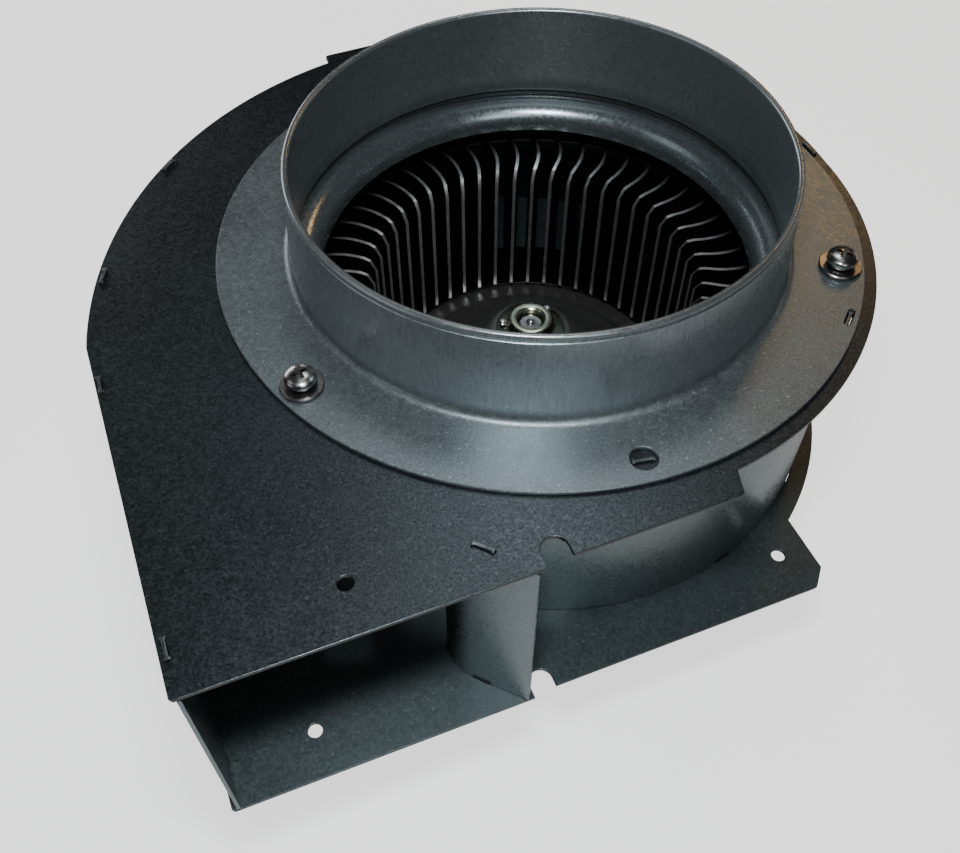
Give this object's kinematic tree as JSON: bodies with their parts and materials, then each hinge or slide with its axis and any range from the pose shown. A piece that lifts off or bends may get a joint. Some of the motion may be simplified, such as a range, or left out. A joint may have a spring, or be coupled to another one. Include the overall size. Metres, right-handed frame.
{
  "type": "combustion fan",
  "caption": "Single-inlet centrifugal combustion fan: scroll case in tab-and-slot sheet steel, round inlet spigot, forward-curved impeller and a motor hung underneath.",
  "frame": {"origin": "centre of the motor's end face, on the shaft axis", "axes": "+Z along the shaft towards the air inlet, -Y out of the air outlet, +X from the outlet's left side to its right side seen from outside the outlet with the inlet up"},
  "size_m": [0.2364, 0.2257, 0.1672],
  "materials": {
    "case_sheet": "galvanised, fine spangle, satin",
    "inlet_plate_sheet": "galvanised, dark slate, fine spangle, satin",
    "spigot_sheet": "galvanised, drawn, soft vertical marks",
    "impeller_sheet": "galvanised, semi-bright",
    "hub_plating": "turned, yellow zinc plated",
    "fastener": "zinc plated, slightly dark",
    "bright_steel": "ground",
    "core_laminations": "stacked laminations, varnished",
    "cast_bracket": "die cast, matt",
    "winding_copper": "enamelled wire, varnished",
    "grommet_rubber": "matt",
    "terminal_plastic": "moulded, matt",
    "terminal_brass": "satin"
  },
  "bodies": {
    "casing": {"motor_side_plate": "case_sheet", "scroll_wall": "case_sheet", "inlet_side_plate": "inlet_plate_sheet", "inlet_bell_mouth": "spigot_sheet", "inlet_spigot": "spigot_sheet", "stator_core": "core_laminations", "upper_winding": "winding_copper", "lower_winding": "winding_copper", "upper_bearing": "bright_steel", "lower_bearing": "bright_steel", "motor_upper_bracket": "cast_bracket", "motor_lower_bracket": "cast_bracket", "terminal_block": "terminal_plastic", "flange_screw_1": "fastener", "flange_washer_1": "fastener", "flange_spring_washer_1": "fastener", "motor_grommet_1": "grommet_rubber", "motor_stud_1": "fastener", "motor_nut_1": "fastener", "terminal_screw_1": "terminal_brass", "flange_screw_2": "fastener", "flange_washer_2": "fastener", "flange_spring_washer_2": "fastener", "motor_grommet_2": "grommet_rubber", "motor_stud_2": "fastener", "motor_nut_2": "fastener", "terminal_screw_2": "terminal_brass", "flange_screw_3": "fastener", "flange_washer_3": "fastener", "flange_spring_washer_3": "fastener", "motor_grommet_3": "grommet_rubber", "motor_stud_3": "fastener", "motor_nut_3": "fastener", "terminal_screw_3": "terminal_brass", "motor_through_bolt_1": "fastener", "motor_through_bolt_2": "fastener", "motor_through_bolt_3": "fastener", "motor_through_bolt_4": "fastener"},
    "impeller": {"impeller_blade_cage": "impeller_sheet", "impeller_back_plate": "impeller_sheet", "impeller_hub": "hub_plating", "hub_rivet_1": "fastener", "hub_rivet_2": "fastener", "hub_rivet_3": "fastener", "hub_set_screw": "fastener", "motor_shaft": "bright_steel", "rotor_core": "core_laminations"}
  },
  "joints": [
    {"name": "impeller_spin", "type": "hinge", "parent": "casing", "child": "impeller", "pos_m": [0, 0, 0.09], "axis": [0, 0, 1], "continuous": true}
  ]
}
